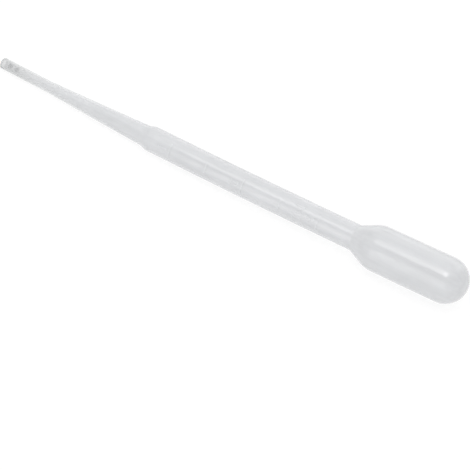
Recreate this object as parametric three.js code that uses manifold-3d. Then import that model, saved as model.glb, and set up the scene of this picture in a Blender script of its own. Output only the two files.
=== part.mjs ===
// A graduated dropper pipette: one thin-walled, blow-moulded piece of soft plastic, open at the
// tip and closed at the bulb. It lies on its side as it comes to rest. Sizes are in millimetres.
import * as THREE from "three";
import { mergeVertices } from "three/addons/utils/BufferGeometryUtils.js";
import Module from "manifold-3d";

// Lengths along the pipette, in order from the open tip to the closed end.
const tipTubeLength = 18;
const taperLength = 36;
const stepLength = 2.3;
const barrelLength = 69.2;
const shoulderLength = 6.1;
const bulbLength = 21.7; // the straight part, before the round end

// Outside diameters.
const tipDiameter = 3.5;
const taperTopDiameter = 6.45;
const barrelDiameter = 7.75;
const bulbDiameter = 13.4;

// The hollow. The wall is thickest at the tip, and thins along the taper.
const tipBoreDiameter = 2.5;
const wall = 0.3;

// How far each corner's rounding reaches along the sides that meet there.
const taperRounding = 1.5;
const stepRounding = 0.35;
const shoulderRounding = 0.4;
const bulbRounding = 1.6;

// How far the middle stands out to the front of the two ends, since the moulding cooled. A bent
// tube comes to rest on its side, so the bow is level.
const bow = 1.1;

// Graduations: short ridges across the barrel at even volumes, in millilitres.
const volumeStep = 0.5;
const topVolume = 3;
const filmVolume = 0.03; // what clings to the walls, so that the ridges read what flows out
const ridgeHeight = 0.15;
const ridgeWidth = 0.45;
const wholeRidgeLength = 4.6;
const halfRidgeLength = 3;
const letterHeight = 2.9;
const letterWidth = 1.9;
const letterGap = 1; // between letters, and between a letter and its ridge
const marksTurn = 46; // degrees round the barrel, from straight up towards the front

// How finely the round shapes are divided.
const sides = 32; // a multiple of four, so that a flat lies underneath and one on each side
const roundingSteps = 4;
const rowSpacing = 8;
const letterSteps = 3; // half the straight pieces in a character's bowl

// Where each stretch starts, measured from the tip.
const taperStart = tipTubeLength;
const stepStart = taperStart + taperLength;
const barrelStart = stepStart + stepLength;
const shoulderStart = barrelStart + barrelLength;
const bulbStart = shoulderStart + shoulderLength;
const domeStart = bulbStart + bulbLength;
const length = domeStart + bulbDiameter / 2;

const cutOverrun = 1; // how far the hollow's cut runs out past the open end
const cubicMillimetres = 1000; // in a millilitre
const volumeTolerance = 1e-6; // how close to a whole millilitre counts as whole

const wasm = await Module();
wasm.setup();

// The point that lies a distance from one point towards another.
function towards(from, to, distance) {
  return to.clone().sub(from).setLength(distance).add(from);
}

// The same outline with points added, so that no stretch is too long to follow the bow.
function withRows(points) {
  const rows = [points[0]];
  for (let i = 1; i < points.length; i++) {
    const stretch = Math.abs(points[i].y - points[i - 1].y);
    const parts = Math.max(1, Math.ceil(stretch / rowSpacing));
    for (let part = 1; part <= parts; part++) {
      rows.push(points[i - 1].clone().lerp(points[i], part / parts));
    }
  }
  return rows;
}

// Half of the outline of the pipette or of its hollow, from the axis at its open end to the axis
// at the round end. Above the taper it stands inside the outer surface by an inset.
function outline(openEnd, tipRadius, inset) {
  const corners = [
    { radius: tipRadius, along: openEnd },
    { radius: tipRadius, along: taperStart, rounding: taperRounding },
    { radius: taperTopDiameter / 2 - inset, along: stepStart, rounding: stepRounding },
    { radius: barrelDiameter / 2 - inset, along: barrelStart, rounding: stepRounding },
    { radius: barrelDiameter / 2 - inset, along: shoulderStart, rounding: shoulderRounding },
    { radius: bulbDiameter / 2 - inset, along: bulbStart, rounding: bulbRounding },
    { radius: bulbDiameter / 2 - inset, along: domeStart },
  ];
  const places = corners.map(({ radius, along }) => new THREE.Vector2(radius, along));
  const path = new THREE.Path();
  path.moveTo(0, openEnd);
  path.lineTo(tipRadius, openEnd);
  for (let i = 1; i < corners.length - 1; i++) {
    const here = places[i];
    const before = towards(here, places[i - 1], corners[i].rounding);
    const after = towards(here, places[i + 1], corners[i].rounding);
    path.lineTo(before.x, before.y);
    path.quadraticCurveTo(here.x, here.y, after.x, after.y);
  }
  path.lineTo(bulbDiameter / 2 - inset, domeStart);
  path.absarc(0, domeStart, bulbDiameter / 2 - inset, 0, Math.PI / 2);
  return withRows(path.getPoints(roundingSteps));
}

// Turns an outline round the pipette's axis, with the flats, not the corners, at its radius.
function turned(points) {
  const halfSide = Math.PI / sides;
  const corners = points.map(({ x, y }) => new THREE.Vector2(x / Math.cos(halfSide), y));
  return new THREE.LatheGeometry(corners, sides, halfSide);
}

// Turns every slice of a straight shape about a far centre behind it, which gives it the bow.
function bowed(geometry) {
  const reach = length ** 2 / (8 * bow);
  const position = geometry.getAttribute("position");
  for (let i = 0; i < position.count; i++) {
    const angle = (position.getY(i) - length / 2) / reach;
    const radius = reach + position.getX(i);
    position.setX(i, radius * Math.cos(angle) - reach);
    position.setY(i, length / 2 + radius * Math.sin(angle));
  }
  return geometry;
}

// A bowed shape as a closed solid that can be joined and cut.
function solid(geometry) {
  const bare = bowed(geometry);
  bare.deleteAttribute("normal");
  bare.deleteAttribute("uv");
  const { index, attributes } = mergeVertices(bare);
  const triVerts = new Uint32Array(index.array);
  const vertProperties = new Float32Array(attributes.position.array);
  return new wasm.Manifold(new wasm.Mesh({ numProp: 3, vertProperties, triVerts }));
}

// How far along the pipette a volume in millilitres fills the hollow.
function level(millilitres) {
  const hollow = outline(0, tipBoreDiameter / 2, wall);
  let space = (millilitres + filmVolume) * cubicMillimetres;
  for (let i = 1; i < hollow.length; i++) {
    const [low, high] = [hollow[i - 1], hollow[i]];
    const squares = low.x ** 2 + low.x * high.x + high.x ** 2;
    const slice = (Math.PI / 3) * (high.y - low.y) * squares;
    if (slice > space) {
      return low.y + ((high.y - low.y) * space) / slice;
    }
    space -= slice;
  }
  return length;
}

// A square bar between two points on the marks' flat, which stands from the pipette's axis out
// past the barrel's surface on the side where the marks are.
function bar(from, to) {
  const line = to.clone().sub(from);
  const middle = from.clone().lerp(to, 0.5);
  const geometry = new THREE.BoxGeometry(line.length() + ridgeWidth, ridgeWidth, barrelDiameter);
  geometry.rotateZ(line.angle());
  geometry.translate(middle.x, middle.y, barrelDiameter / 2);
  return solid(geometry.rotateY(THREE.MathUtils.degToRad(marksTurn)));
}

// The centre line of each character, in a box one unit wide and one unit high.
const characters = {
  0: (pen) => pen.absellipse(0.5, 0.5, 0.5, 0.5, 0, 2 * Math.PI),
  1: (pen) => pen.moveTo(0.2, 0.8).lineTo(0.5, 1).lineTo(0.5, 0),
  2: (pen) => pen.absellipse(0.5, 0.7, 0.45, 0.3, Math.PI, -0.2 * Math.PI, true).lineTo(0, 0).lineTo(1, 0),
  3: (pen) => bowl(bowl(pen, 0.76, 0.24, 0.8, -0.5), 0.26, 0.26, 0.5, -0.8),
  4: (pen) => pen.moveTo(0.75, 0).lineTo(0.75, 1).lineTo(0, 0.3).lineTo(1, 0.3),
  5: (pen) => bowl(pen.moveTo(0.9, 1).lineTo(0.1, 1).lineTo(0.1, 0.6), 0.31, 0.31, 0.6, -0.8),
  6: (pen) => pen.moveTo(0.8, 1).lineTo(0.1, 0.5).absellipse(0.5, 0.3, 0.5, 0.3, Math.PI, -Math.PI, true),
  7: (pen) => pen.moveTo(0, 1).lineTo(1, 1).lineTo(0.35, 0),
  8: (pen) => bowl(bowl(pen, 0.76, 0.24, 1.5, -0.5), 0.26, 0.26, 0.5, -1.5),
  9: (pen) => pen.absellipse(0.5, 0.7, 0.5, 0.3, 0, 2 * Math.PI).lineTo(0.2, 0),
  M: (pen) => pen.moveTo(0, 0).lineTo(0, 1).lineTo(0.5, 0.4).lineTo(1, 1).lineTo(1, 0),
  L: (pen) => pen.moveTo(0, 1).lineTo(0, 0).lineTo(0.9, 0),
};

// Continues a character with a clockwise bowl: the height of its middle, half its height, and
// the angles between which it is drawn, in half turns.
function bowl(pen, middle, half, from, to) {
  return pen.absellipse(0.5, middle, 0.5, half, from * Math.PI, to * Math.PI, true);
}

// The bars of a word whose characters stand on a height, centred on the marks' middle line.
function word(text, base) {
  const pitch = letterWidth + letterGap;
  const left = (letterGap - text.length * pitch) / 2;
  return [...text].flatMap((character, place) => {
    const line = characters[character](new THREE.Path()).getPoints(letterSteps);
    const points = line.map(
      ({ x, y }) => new THREE.Vector2(left + place * pitch + x * letterWidth, base + y * letterHeight),
    );
    return points.slice(1).map((point, i) => bar(points[i], point));
  });
}

// The ridges and lettering of the graduations that come on the barrel, as one solid.
function graduations() {
  const bars = [];
  const marks = Math.floor(topVolume / volumeStep + volumeTolerance);
  for (let mark = 1; mark <= marks; mark++) {
    const volume = mark * volumeStep;
    const height = level(volume);
    if (height < barrelStart + ridgeWidth || height > shoulderStart - ridgeWidth) {
      continue;
    }
    const whole = Math.abs(volume - Math.round(volume)) < volumeTolerance;
    const half = (whole ? wholeRidgeLength : halfRidgeLength) / 2;
    bars.push(bar(new THREE.Vector2(-half, height), new THREE.Vector2(half, height)));
    if (whole) {
      const base = height - letterGap - letterHeight;
      bars.push(...word(String(Math.round(volume)), base));
      if (mark === marks) {
        bars.push(...word("ML", base - letterGap - letterHeight));
      }
    }
  }
  const radius = barrelDiameter / 2 + ridgeHeight;
  const sleeve = [
    new THREE.Vector2(0, barrelStart),
    new THREE.Vector2(radius, barrelStart),
    new THREE.Vector2(radius, shoulderStart),
    new THREE.Vector2(0, shoulderStart),
  ];
  return wasm.Manifold.union(bars).intersect(solid(turned(withRows(sleeve))));
}

// The whole moulding, upright on its tip along +Y.
function moulding() {
  const outside = solid(turned(outline(0, tipDiameter / 2, 0)));
  const hollow = solid(turned(outline(-cutOverrun, tipBoreDiameter / 2, wall)));
  const mesh = outside.add(graduations()).subtract(hollow).getMesh();
  const geometry = new THREE.BufferGeometry();
  geometry.setAttribute("position", new THREE.BufferAttribute(mesh.vertProperties, 3));
  geometry.setIndex(new THREE.BufferAttribute(mesh.triVerts, 1));
  return geometry;
}

// How far along the pipette its weight balances.
function balance(geometry) {
  const position = geometry.getAttribute("position");
  const index = geometry.getIndex();
  let volume = 0;
  let moment = 0;
  for (let i = 0; i < index.count; i += 3) {
    const [a, b, c] = [0, 1, 2].map((corner) =>
      new THREE.Vector3().fromBufferAttribute(position, index.getX(i + corner)),
    );
    const share = a.dot(b.clone().cross(c)) / 6;
    volume += share;
    moment += (share * (a.y + b.y + c.y)) / 4;
  }
  return moment / volume;
}

// The slope of the pipette's underside between the two points that it rests on, which lie on
// either side of its balance: no other two such points give a lower line under it there.
function restingSlope(middle) {
  const underside = outline(0, tipDiameter / 2, 0).map(({ x, y }) => new THREE.Vector2(y, -x));
  let lowest = Infinity;
  let slope = 0;
  for (const low of underside.filter(({ x }) => x < middle)) {
    for (const high of underside.filter(({ x }) => x > middle)) {
      const rise = (high.y - low.y) / (high.x - low.x);
      const height = low.y + rise * (middle - low.x);
      if (height < lowest) {
        lowest = height;
        slope = Math.atan(rise);
      }
    }
  }
  return slope;
}

const plastic = new THREE.MeshStandardMaterial({
  color: 0xe6eaeb,
  roughness: 0.35,
  metalness: 0,
  transparent: true,
  opacity: 0.75,
});
const body = new THREE.Mesh(moulding(), plastic);
body.name = "pipette_body";

// Laid along +X with the marks' side to the front, which is -Y.
const laid = new THREE.Group();
laid.rotation.z = -Math.PI / 2;
laid.add(body);

// Tilted and lifted until it rests, with the middle of its footprint at the origin.
const pipette = new THREE.Group();
pipette.add(laid);
pipette.rotation.y = restingSlope(balance(body.geometry));
const bounds = new THREE.Box3().setFromObject(pipette, true);
const centre = bounds.getCenter(new THREE.Vector3());
pipette.position.set(-centre.x, -centre.y, -bounds.min.z);

export default pipette;
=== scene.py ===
import math

import bpy
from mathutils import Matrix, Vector


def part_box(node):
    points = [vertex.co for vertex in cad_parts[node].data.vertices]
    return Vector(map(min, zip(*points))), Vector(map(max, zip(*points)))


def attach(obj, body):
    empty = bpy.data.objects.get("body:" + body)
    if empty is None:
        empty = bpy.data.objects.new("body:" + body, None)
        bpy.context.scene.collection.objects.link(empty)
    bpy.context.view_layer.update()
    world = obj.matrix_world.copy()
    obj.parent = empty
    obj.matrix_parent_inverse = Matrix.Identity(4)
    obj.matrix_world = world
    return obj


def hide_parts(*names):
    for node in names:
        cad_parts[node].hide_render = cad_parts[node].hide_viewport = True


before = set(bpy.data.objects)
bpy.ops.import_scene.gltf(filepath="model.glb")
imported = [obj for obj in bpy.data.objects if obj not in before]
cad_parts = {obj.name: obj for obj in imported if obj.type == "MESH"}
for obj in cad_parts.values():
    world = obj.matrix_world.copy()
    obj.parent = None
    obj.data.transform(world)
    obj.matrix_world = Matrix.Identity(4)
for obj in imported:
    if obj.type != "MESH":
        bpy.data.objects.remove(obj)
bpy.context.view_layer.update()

MM = 0.001
CAD_NODE = "pipette_body"

# Lengths along the pipette, from the open tip to where the round end starts.
TIP_TUBE = 18 * MM
TAPER = 36 * MM
STEP = 2.3 * MM
BARREL = 69.2 * MM
SHOULDER = 6.1 * MM
BULB = 21.7 * MM

# Outside radii.
TIP_RADIUS = 1.75 * MM
TAPER_TOP_RADIUS = 3.225 * MM
BARREL_RADIUS = 3.875 * MM
BULB_RADIUS = 6.7 * MM

# The wall, which is thickest along the tip tube and thins along the taper.
TIP_WALL = 0.5 * MM
WALL = 0.3 * MM

# How far each corner's rounding reaches along the sides that meet there.
TAPER_ROUNDING = 1.5 * MM
STEP_ROUNDING = 0.35 * MM
SHOULDER_ROUNDING = 0.4 * MM
BULB_ROUNDING = 1.6 * MM
TIP_EDGE_ROUNDING = 0.08 * MM

BOW = 1.1 * MM  # how far the middle stands out to the front of the two ends

# Raised volume marks on the barrel, on the side that faces up and to the front.
FIRST_WHOLE_MARK = 64.9 * MM  # from the tip to the 1 ml ridge
HALF_MILLILITRE = 500 * MM**3
MARKS = 5  # every half millilitre from 1 ml to 3 ml
MARK_HEIGHT = 0.15 * MM
MARK_ROOT = 0.1 * MM  # how deep a mark's underside sits in the wall
BAR_HEIGHT = 2 * MM  # of a ridge's bar before it is cut to the marks' height
RIDGE_WIDTH = 0.45 * MM
WHOLE_RIDGE = 4.6 * MM
HALF_RIDGE = 3 * MM
LETTER_HEIGHT = 2.9 * MM
LETTER_GAP = 1 * MM
MARK_EDGE_ROUNDING = 0.06 * MM
MARKS_TURN = math.radians(46)  # from straight up towards the front

# How finely the round shapes are divided.
SIDES = 128
ROW_SPACING = 2 * MM
ROUNDING_STEPS = 6
DOME_STEPS = 20
SMALL_ROUNDING_STEPS = 2
LETTER_STEPS = 4

SAME_PLACE = 0.01 * MM  # how near a point has to be to count as lying at a place
SAME_POINT = 0.001 * MM  # letter corners nearer than this are merged
MARK_EDGE_ANGLE = math.radians(60)  # edges of a mark that are sharper than this are rounded
SMOOTH_ANGLE = math.radians(35)  # edges sharper than this stay sharp to the eye

# Where each stretch starts, measured from the pipette's middle.
LENGTH = TIP_TUBE + TAPER + STEP + BARREL + SHOULDER + BULB + BULB_RADIUS
TIP_END = -LENGTH / 2
TAPER_START = TIP_END + TIP_TUBE
STEP_START = TAPER_START + TAPER
BARREL_START = STEP_START + STEP
SHOULDER_START = BARREL_START + BARREL
BULB_START = SHOULDER_START + SHOULDER
DOME_START = BULB_START + BULB

# Two darker grey spots in the colour on top of the tip, near its open end, once the pipette lies on the
# table.
TIP_GREY_SPOTS = [(TIP_END + 3.7 * MM, -0.3 * MM, 3.3 * MM), (TIP_END + 6.2 * MM, -0.5 * MM, 3.3 * MM)]
TIP_GREY_SPOT_RADIUS = 1.15 * MM

# How much each skin hides of what lies behind it, from 0 to 1. The marks hide a little more than
# the skin that they stand on, and the bore hides more just inside the cut end than further in.
OUTSIDE_COVER = 0.55
INSIDE_COVER = 0.15
END_COVER = 0.5
MARK_COVER = 0.59
MILKY_END = 4 * MM  # how far in from the cut end the bore is milkier

TABLE_SIZE = 6
TABLE_GAP = 0.01 * MM  # keeps the table's top just clear of the pipette
TABLE_WHITE_SHARE = 0.8  # how much of the table the camera sees as plain white
TABLE_WHITE_STRENGTH = 1.05  # how strong that white is
SURROUND_STRENGTH = 0.62  # how strongly the surround lights the pipette

# Where the camera stands: its angles round the pipette, how far off it is, the height that it is
# turned to, and how far its aim then moves to the right and down.
CAMERA_AZIMUTH = math.radians(32.97)
CAMERA_ELEVATION = math.radians(54.9)
CAMERA_DISTANCE = 413.3 * MM
CAMERA_HEIGHT = 7 * MM
CAMERA_RIGHT = 4.48 * MM
CAMERA_DOWN = 20.12 * MM


def start_from_nothing_selected():
    """Leaves edit mode and deselects everything."""
    if bpy.context.object and bpy.context.object.mode != "OBJECT":
        bpy.ops.object.mode_set(mode="OBJECT")
    bpy.ops.object.select_all(action="DESELECT")


def make_active(piece):
    """Selects one piece alone and makes it the one that operators work on."""
    start_from_nothing_selected()
    piece.select_set(True)
    bpy.context.view_layer.objects.active = piece


def apply_modifier(piece, name, kind, **settings):
    """Adds a modifier to a piece with its settings, and applies it."""
    make_active(piece)
    modifier = piece.modifiers.new(name, kind)
    for setting, value in settings.items():
        setattr(modifier, setting, value)
    bpy.ops.object.modifier_apply(modifier=name)


def select_edges(piece, wanted):
    """Enters edit mode with only the edges selected whose two ends pass a test."""
    make_active(piece)
    bpy.ops.object.mode_set(mode="EDIT")
    bpy.ops.mesh.select_mode(type="EDGE")
    bpy.ops.mesh.select_all(action="DESELECT")
    bpy.ops.object.mode_set(mode="OBJECT")
    places = [vertex.co for vertex in piece.data.vertices]
    for edge in piece.data.edges:
        edge.select = all(wanted(places[end]) for end in edge.vertices)
    bpy.ops.object.mode_set(mode="EDIT")


def extrude_ring(here, radius, there, next_radius):
    """Extrudes the selected ring of edges along X to its next place and radius."""
    rows = max(1, math.ceil((there - here) / ROW_SPACING))
    for row in range(rows):
        low, high = (radius + (next_radius - radius) * share / rows for share in (row, row + 1))
        bpy.ops.mesh.extrude_edges_move(
            TRANSFORM_OT_translate={"value": ((there - here) / rows, 0, 0)}
        )
        bpy.ops.transform.resize(value=(1, high / low, high / low), center_override=(0, 0, 0))


def blown_skin():
    """The outside as one skin: a ring at the open tip, extruded to every change of diameter, and
    closed over the round end."""
    start_from_nothing_selected()
    bpy.ops.mesh.primitive_circle_add(
        vertices=SIDES,
        radius=TIP_RADIUS,
        location=(TIP_END, 0, 0),
        rotation=(0, math.pi / 2, 0),
    )
    skin = bpy.context.object
    skin.name = "pipette"
    bpy.ops.object.mode_set(mode="EDIT")
    bpy.ops.mesh.select_mode(type="EDGE")
    bpy.ops.mesh.select_all(action="SELECT")
    stations = [
        (TIP_END, TIP_RADIUS),
        (TAPER_START, TIP_RADIUS),
        (STEP_START, TAPER_TOP_RADIUS),
        (BARREL_START, BARREL_RADIUS),
        (SHOULDER_START, BARREL_RADIUS),
        (BULB_START, BULB_RADIUS),
        (DOME_START, BULB_RADIUS),
    ]
    for turn in range(1, DOME_STEPS):
        angle = math.pi / 2 * turn / DOME_STEPS
        stations.append(
            (DOME_START + BULB_RADIUS * math.sin(angle), BULB_RADIUS * math.cos(angle))
        )
    for (here, radius), (there, next_radius) in zip(stations, stations[1:]):
        extrude_ring(here, radius, there, next_radius)
    last = LENGTH / 2 - stations[-1][0]
    bpy.ops.mesh.extrude_edges_move(TRANSFORM_OT_translate={"value": (last, 0, 0)})
    bpy.ops.mesh.merge(type="CENTER")
    bpy.ops.mesh.select_all(action="SELECT")
    bpy.ops.mesh.normals_make_consistent(inside=False)
    bpy.ops.object.mode_set(mode="OBJECT")
    bpy.ops.object.transform_apply(location=True, rotation=True, scale=True)
    return skin


def round_corners(skin):
    """Rounds the skin at each change of diameter."""
    corners = [
        (TAPER_START, TAPER_ROUNDING),
        (STEP_START, STEP_ROUNDING),
        (BARREL_START, STEP_ROUNDING),
        (SHOULDER_START, SHOULDER_ROUNDING),
        (BULB_START, BULB_ROUNDING),
    ]
    for place, rounding in corners:
        select_edges(skin, lambda point: abs(point.x - place) < SAME_PLACE)
        bpy.ops.mesh.bevel(
            offset_type="OFFSET",
            offset=rounding,
            segments=ROUNDING_STEPS,
            profile=0.5,
            affect="EDGES",
        )
        bpy.ops.object.mode_set(mode="OBJECT")


def give_wall(skin):
    """Thickens the skin inwards, with the wall's share of the tip's thickness as vertex weights."""
    thickness = skin.vertex_groups.new(name="wall_thickness")
    for vertex in skin.data.vertices:
        along_taper = min(1, max(0, (vertex.co.x - TAPER_START) / TAPER))
        share = 1 + (WALL / TIP_WALL - 1) * along_taper
        thickness.add([vertex.index], share, "REPLACE")
    apply_modifier(
        skin,
        "wall",
        "SOLIDIFY",
        thickness=TIP_WALL,
        offset=-1,
        vertex_group=thickness.name,
        use_even_offset=True,
        material_offset=1,
    )
    skin.vertex_groups.clear()


def round_cut_edge(body):
    """Takes the sharpness off the two edges of the cut at the open tip."""
    select_edges(body, lambda point: abs(point.x - TIP_END) < SAME_PLACE)
    bpy.ops.object.mode_set(mode="OBJECT")
    radii = [math.hypot(vertex.co.y, vertex.co.z) for vertex in body.data.vertices]
    for edge in body.data.edges:
        low, high = (radii[end] for end in edge.vertices)
        edge.select = edge.select and abs(low - high) < SAME_PLACE
    bpy.ops.object.mode_set(mode="EDIT")
    bpy.ops.mesh.bevel(
        offset=TIP_EDGE_ROUNDING, segments=SMALL_ROUNDING_STEPS, profile=0.5, affect="EDGES"
    )
    bpy.ops.object.mode_set(mode="OBJECT")


def ridge(place, width):
    """A bar across the barrel, tall enough to stand from inside its wall to above it."""
    start_from_nothing_selected()
    bpy.ops.mesh.primitive_cube_add(size=1, location=(place, 0, BARREL_RADIUS))
    bar = bpy.context.object
    bar.scale = (RIDGE_WIDTH, width, BAR_HEIGHT)
    bpy.ops.object.transform_apply(location=True, rotation=True, scale=True)
    return bar


def word(text, base):
    """A word as a tall solid over the barrel, whose letters stand on a place along it and read with
    the bulb up."""
    start_from_nothing_selected()
    bpy.ops.object.text_add()
    letters = bpy.context.object
    letters.data.body = text
    letters.data.align_x = "CENTER"
    letters.data.extrude = 1
    letters.data.resolution_u = LETTER_STEPS
    bpy.ops.object.convert(target="MESH")
    letters = bpy.context.object
    height = max(vertex.co.y for vertex in letters.data.vertices)
    size = LETTER_HEIGHT / height
    letters.scale = (size, size, MM)
    letters.rotation_euler = (0, 0, -math.pi / 2)
    letters.location = (base, 0, BARREL_RADIUS)
    bpy.ops.object.transform_apply(location=True, rotation=True, scale=True)
    bpy.ops.object.mode_set(mode="EDIT")
    bpy.ops.mesh.select_all(action="SELECT")
    bpy.ops.mesh.remove_doubles(threshold=SAME_POINT)
    bpy.ops.mesh.normals_make_consistent(inside=False)
    bpy.ops.object.mode_set(mode="OBJECT")
    return letters


def sleeve():
    """A thin tube round the barrel, from inside its wall out to the marks' height."""
    start_from_nothing_selected()
    bpy.ops.mesh.primitive_cylinder_add(
        vertices=SIDES,
        radius=BARREL_RADIUS + MARK_HEIGHT,
        depth=BARREL,
        location=(BARREL_START + BARREL / 2, 0, 0),
        rotation=(0, math.pi / 2, 0),
        end_fill_type="NOTHING",
    )
    tube = bpy.context.object
    bpy.ops.object.transform_apply(location=True, rotation=True, scale=True)
    apply_modifier(tube, "wall", "SOLIDIFY", thickness=MARK_HEIGHT + MARK_ROOT, offset=-1)
    return tube


def combine(piece, other, operation):
    """Joins or cuts a piece with another, which is used up. Each face keeps its material."""
    apply_modifier(
        piece,
        "combine",
        "BOOLEAN",
        object=other,
        operation=operation,
        solver="EXACT",
        material_mode="TRANSFER",
    )
    bpy.data.objects.remove(other)


def raised_marks():
    """Every ridge and word of the scale, wrapped to the barrel at one height."""
    spacing = HALF_MILLILITRE / (math.pi * (BARREL_RADIUS - WALL) ** 2)
    pieces = []
    for mark in range(MARKS):
        place = TIP_END + FIRST_WHOLE_MARK + mark * spacing
        whole = mark % 2 == 0
        pieces.append(ridge(place, WHOLE_RIDGE if whole else HALF_RIDGE))
        if whole:
            base = place - LETTER_GAP - LETTER_HEIGHT
            pieces.append(word(str(1 + mark // 2), base))
            if mark == MARKS - 1:
                pieces.append(word("ML", base - LETTER_GAP - LETTER_HEIGHT))
    start_from_nothing_selected()
    for piece in pieces:
        piece.select_set(True)
    bpy.context.view_layer.objects.active = pieces[0]
    bpy.ops.object.join()
    marks = bpy.context.object
    combine(marks, sleeve(), "INTERSECT")
    apply_modifier(
        marks,
        "soft_edges",
        "BEVEL",
        width=MARK_EDGE_ROUNDING,
        segments=SMALL_ROUNDING_STEPS,
        limit_method="ANGLE",
        angle_limit=MARK_EDGE_ANGLE,
    )
    make_active(marks)
    marks.rotation_euler = (MARKS_TURN, 0, 0)
    bpy.ops.object.transform_apply(location=True, rotation=True, scale=True)
    return marks


def lay_down(body):
    """Bows the pipette level to the front, tilts it until barrel and bulb both touch the table, and
    centres it where the solid part lies."""
    bend = 8 * BOW / LENGTH  # the angle of an arc this long whose middle stands out by the bow
    apply_modifier(
        body, "bow", "SIMPLE_DEFORM", deform_method="BEND", deform_axis="Z", angle=bend
    )
    run = (BULB_START + BULB_ROUNDING) - (BARREL_START + STEP_ROUNDING)
    make_active(body)
    body.rotation_euler = (0, -math.atan2(BULB_RADIUS - BARREL_RADIUS, run), 0)
    bpy.ops.object.transform_apply(location=True, rotation=True, scale=True)
    low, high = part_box(CAD_NODE)
    places = [vertex.co for vertex in body.data.vertices]
    for axis in (0, 1):
        spread = [place[axis] for place in places]
        body.location[axis] = (low[axis] + high[axis] - min(spread) - max(spread)) / 2
    body.location.z = low.z - min(place.z for place in places)
    bpy.ops.object.transform_apply(location=True, rotation=True, scale=True)


def linear(hex_colour):
    """An sRGB hex colour as linear values with full opacity."""
    values = [int(hex_colour[i : i + 2], 16) / 255 for i in (1, 3, 5)]
    return [v / 12.92 if v <= 0.04045 else ((v + 0.055) / 1.055) ** 2.4 for v in values] + [1]


def add_node(tree, kind, settings=None, inputs=None):
    """Adds a node with its settings. An input is a value, or another node's output to link."""
    node = tree.nodes.new(kind)
    for name, value in (settings or {}).items():
        setattr(node, name, value)
    for name, value in (inputs or {}).items():
        if isinstance(value, bpy.types.NodeSocket):
            tree.links.new(value, node.inputs[name])
        else:
            node.inputs[name].default_value = value
    return node


def add_ramp(tree, value, stops):
    """A colour for each value from 0 to 1, blended between its stops."""
    node = add_node(tree, "ShaderNodeValToRGB", inputs={"Fac": value})
    elements = node.color_ramp.elements
    while len(elements) < len(stops):
        elements.new(0.5)
    for element, (position, colour) in zip(elements, stops):
        element.position = position
        element.color = linear(colour)
    return node.outputs["Color"]


def add_noise(tree, place, sizes, detail):
    """A soft random pattern whose features have given sizes along X, Y and Z."""
    scaled = add_node(
        tree,
        "ShaderNodeMapping",
        inputs={"Vector": place, "Scale": tuple(1 / size for size in sizes)},
    )
    noise = add_node(
        tree,
        "ShaderNodeTexNoise",
        inputs={"Vector": scaled.outputs["Vector"], "Scale": 1, "Detail": detail},
    )
    return noise.outputs["Fac"]


def multiply(tree, first, second):
    """One colour darkened by another."""
    node = add_node(
        tree,
        "ShaderNodeMix",
        {"data_type": "RGBA", "blend_type": "MULTIPLY"},
        {0: 1, 6: first, 7: second},
    )
    return node.outputs[2]


def new_material(name):
    """An empty material, and its node tree."""
    material = bpy.data.materials.new(name)
    material.use_nodes = True
    material.node_tree.nodes.clear()
    return material, material.node_tree


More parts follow.
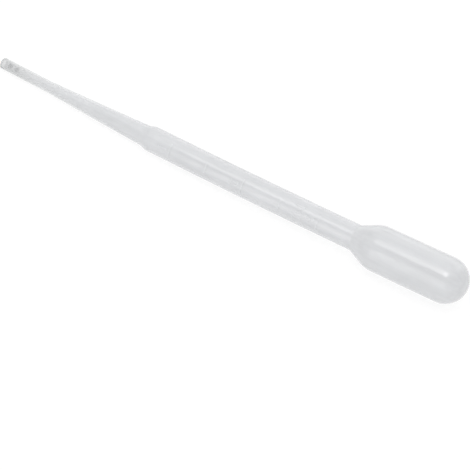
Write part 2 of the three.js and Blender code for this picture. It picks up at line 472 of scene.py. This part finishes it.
def milky_polyethylene(name, tints, cover, end_cover=None):
    """Low-density polyethylene, blow-moulded from a hot tube and cooled against a smooth metal mould.

    Crystals in the plastic scatter light, which makes a thin wall milky: pale grey against white,
    and light where fewer layers overlap, along its rims. That is the tint and the cover. The tip's
    wall is the thickest and the greyest. A skin with an end cover is milkier just inside the cut
    end, so that the open end shows as a soft grey disc. The hot tube was drawn lengthwise as it was
    blown, which leaves faint streaks along the pipette and soft clouds between them. The mould
    leaves a satin gloss with long soft reflections. The cover thins the gloss along with the
    colour, so a coat and a raised specular level bring it back to that of a full surface."""
    material, tree = new_material(name)
    place = add_node(tree, "ShaderNodeTexCoord").outputs["Object"]
    along = add_node(tree, "ShaderNodeSeparateXYZ", inputs={"Vector": place})
    depth = add_node(
        tree,
        "ShaderNodeMapRange",
        inputs={"Value": along.outputs["X"], "From Min": TIP_END, "From Max": STEP_START},
    )
    colour = add_ramp(tree, depth.outputs["Result"], tints)

    # Streaks are drawn 1.2 mm wide and clouds 5 mm, because finer ones would not show.
    flow = add_noise(tree, place, (60 * MM, 1.2 * MM, 1.2 * MM), 3)
    colour = multiply(tree, colour, add_ramp(tree, flow, [(0.3, "#f6f7f7"), (0.7, "#ffffff")]))
    clouds = add_noise(tree, place, (9 * MM, 5 * MM, 5 * MM), 2)
    colour = multiply(tree, colour, add_ramp(tree, clouds, [(0.35, "#f9f9f9"), (0.65, "#ffffff")]))

    # Two small darker grey spots lie in the skin's colour on top of the tip, just behind the open end.
    for centre in TIP_GREY_SPOTS:
        near = add_node(
            tree,
            "ShaderNodeMapping",
            {"vector_type": "TEXTURE"},
            {"Vector": place, "Location": centre, "Scale": (TIP_GREY_SPOT_RADIUS,) * 3},
        )
        spot = add_node(
            tree,
            "ShaderNodeTexGradient",
            {"gradient_type": "SPHERICAL"},
            {"Vector": near.outputs["Vector"]},
        )
        shade = add_ramp(tree, spot.outputs["Fac"], [(0, "#ffffff"), (0.7, "#c4c4c5")])
        colour = multiply(tree, colour, shade)

    # The satin of the mould is far finer than this, so it is drawn 0.7 mm wide, and very shallow.
    satin = add_noise(tree, place, (2.5 * MM, 0.7 * MM, 0.7 * MM), 2)
    roughness = add_node(
        tree,
        "ShaderNodeMapRange",
        inputs={"Value": satin, "From Min": 0.3, "From Max": 0.7, "To Min": 0.13, "To Max": 0.19},
    )
    relief = add_node(tree, "ShaderNodeMath", {"operation": "ADD"}, {0: flow, 1: satin})
    bump = add_node(
        tree,
        "ShaderNodeBump",
        inputs={"Height": relief.outputs[0], "Strength": 1, "Distance": 0.012 * MM},
    )
    if end_cover is not None:
        fade = add_node(
            tree,
            "ShaderNodeMapRange",
            inputs={
                "Value": along.outputs["X"],
                "From Min": TIP_END,
                "From Max": TIP_END + MILKY_END,
                "To Min": end_cover,
                "To Max": cover,
            },
        )
        cover = fade.outputs["Result"]
    shader = add_node(
        tree,
        "ShaderNodeBsdfPrincipled",
        inputs={
            "Base Color": colour,
            "Roughness": roughness.outputs["Result"],
            "IOR": 1.51,
            "Specular IOR Level": 1,
            "Coat Weight": 1,
            "Coat Roughness": 0.08,
            "Coat IOR": 1.5,
            "Normal": bump.outputs["Normal"],
            "Coat Normal": bump.outputs["Normal"],
            "Alpha": cover,
        },
    )
    add_node(tree, "ShaderNodeOutputMaterial", inputs={"Surface": shader.outputs["BSDF"]})
    return material


def add_background_mask(tree):
    """Full for what the camera sees, straight or in a gloss, and nothing for what lights the object."""
    path = add_node(tree, "ShaderNodeLightPath")
    shown = path.outputs["Is Camera Ray"]
    for other in ("Is Glossy Ray", "Is Transmission Ray"):
        either = add_node(
            tree,
            "ShaderNodeMath",
            {"operation": "MAXIMUM"},
            {0: shown, 1: path.outputs[other]},
        )
        shown = either.outputs[0]
    return shown


def white_table():
    """A white laminate top. The camera sees it mostly as plain white, which keeps a faint shadow."""
    material, tree = new_material("white_table_laminate")
    share = add_node(
        tree,
        "ShaderNodeMath",
        {"operation": "MULTIPLY"},
        {0: add_background_mask(tree), 1: TABLE_WHITE_SHARE},
    )
    matt = add_node(tree, "ShaderNodeBsdfDiffuse", inputs={"Color": linear("#fcfcfc")})
    glow = add_node(
        tree,
        "ShaderNodeEmission",
        inputs={"Color": linear("#ffffff"), "Strength": TABLE_WHITE_STRENGTH},
    )
    both = add_node(
        tree,
        "ShaderNodeMixShader",
        inputs={0: share.outputs[0], 1: matt.outputs["BSDF"], 2: glow.outputs["Emission"]},
    )
    add_node(tree, "ShaderNodeOutputMaterial", inputs={"Surface": both.outputs["Shader"]})
    return material


def table():
    """The table top under the pipette."""
    start_from_nothing_selected()
    bpy.ops.mesh.primitive_plane_add(size=TABLE_SIZE, location=(0, 0, -TABLE_GAP))
    floor = bpy.context.object
    floor.name = "table_top"
    floor.data.materials.append(white_table())


def soft_world():
    """A pale surround that lights the object a little and that the camera sees as white."""
    world = bpy.data.worlds.new("soft_surround")
    bpy.context.scene.world = world
    world.use_nodes = True
    tree = world.node_tree
    tree.nodes.clear()
    dim = add_node(
        tree,
        "ShaderNodeBackground",
        inputs={"Color": (1, 1, 1, 1), "Strength": SURROUND_STRENGTH},
    )
    white = add_node(tree, "ShaderNodeBackground", inputs={"Color": (1, 1, 1, 1), "Strength": 1})
    mix = add_node(
        tree,
        "ShaderNodeMixShader",
        inputs={
            0: add_background_mask(tree),
            1: dim.outputs["Background"],
            2: white.outputs["Background"],
        },
    )
    add_node(tree, "ShaderNodeOutputWorld", inputs={"Surface": mix.outputs["Shader"]})


def strip_lamp(name, position, length, width, power):
    """A long soft lamp that lies along the pipette and is turned to it."""
    start_from_nothing_selected()
    bpy.ops.object.light_add(type="AREA", location=position)
    lamp = bpy.context.object
    lamp.name = name
    lamp.data.shape = "RECTANGLE"
    lamp.data.size = length
    lamp.data.size_y = width
    lamp.data.energy = power
    lamp.rotation_euler = (math.atan2(-position[1], position[2]), 0, 0)


def camera():
    """A long lens that looks down across the bulb end."""
    right = Vector((math.cos(CAMERA_AZIMUTH), math.sin(CAMERA_AZIMUTH), 0))
    back = Vector(
        (
            math.sin(CAMERA_AZIMUTH) * math.cos(CAMERA_ELEVATION),
            -math.cos(CAMERA_AZIMUTH) * math.cos(CAMERA_ELEVATION),
            math.sin(CAMERA_ELEVATION),
        )
    )
    up = back.cross(right)
    middle = Vector((0, 0, CAMERA_HEIGHT))
    offset = right * CAMERA_RIGHT - up * CAMERA_DOWN
    start_from_nothing_selected()
    bpy.ops.object.camera_add(location=middle + offset + back * CAMERA_DISTANCE)
    eye = bpy.context.object
    eye.rotation_euler = back.to_track_quat("Z", "Y").to_euler()
    eye.data.lens = 110
    eye.data.sensor_width = 36
    eye.data.clip_start = 0.01
    eye.data.clip_end = 20
    bpy.context.scene.camera = eye


# Tints from the open tip, at 0, to the end of the taper, at 1, and on over the barrel and bulb.
body_tints = [(0, "#cecfd0"), (0.08, "#d4d5d6"), (0.3, "#e1e2e4"), (1, "#e2e3e6")]
mark_tints = [(0, "#e6e7ea"), (1, "#e6e7ea")]
pipette = blown_skin()
outside = milky_polyethylene("milky_polyethylene_outside", body_tints, OUTSIDE_COVER)
inside = milky_polyethylene("milky_polyethylene_inside", body_tints, INSIDE_COVER, END_COVER)
pipette.data.materials.append(outside)
pipette.data.materials.append(inside)
round_corners(pipette)
give_wall(pipette)
round_cut_edge(pipette)
marks = raised_marks()
marks.data.materials.clear()
marks.data.materials.append(milky_polyethylene("milky_polyethylene_marks", mark_tints, MARK_COVER))
combine(pipette, marks, "UNION")
lay_down(pipette)
make_active(pipette)
bpy.ops.object.shade_smooth_by_angle(angle=SMOOTH_ANGLE)
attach(pipette, "root")
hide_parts(CAD_NODE)

table()
soft_world()
# Each lamp's name, place, length, width and power, in metres and watts.
for lamp in (
    ("rear_softbox", (-0.1, 0.30, 0.633), 1.3, 1.42, 2.32),
    ("rear_low_strip", (-0.1, 0.685, 0.146), 1.3, 0.22, 0.72),
    ("overhead_strip", (-0.05, -0.11, 0.691), 0.6, 0.272, 0.5),
    ("overhead_spot", (0.07, -0.12, 0.68), 0.2, 0.24, 0.33),
    ("front_softbox", (0.05, -0.65, 0.262), 0.8, 0.51, 0.95),
):
    strip_lamp(*lamp)
camera()
bpy.context.scene.view_settings.view_transform = "Standard"
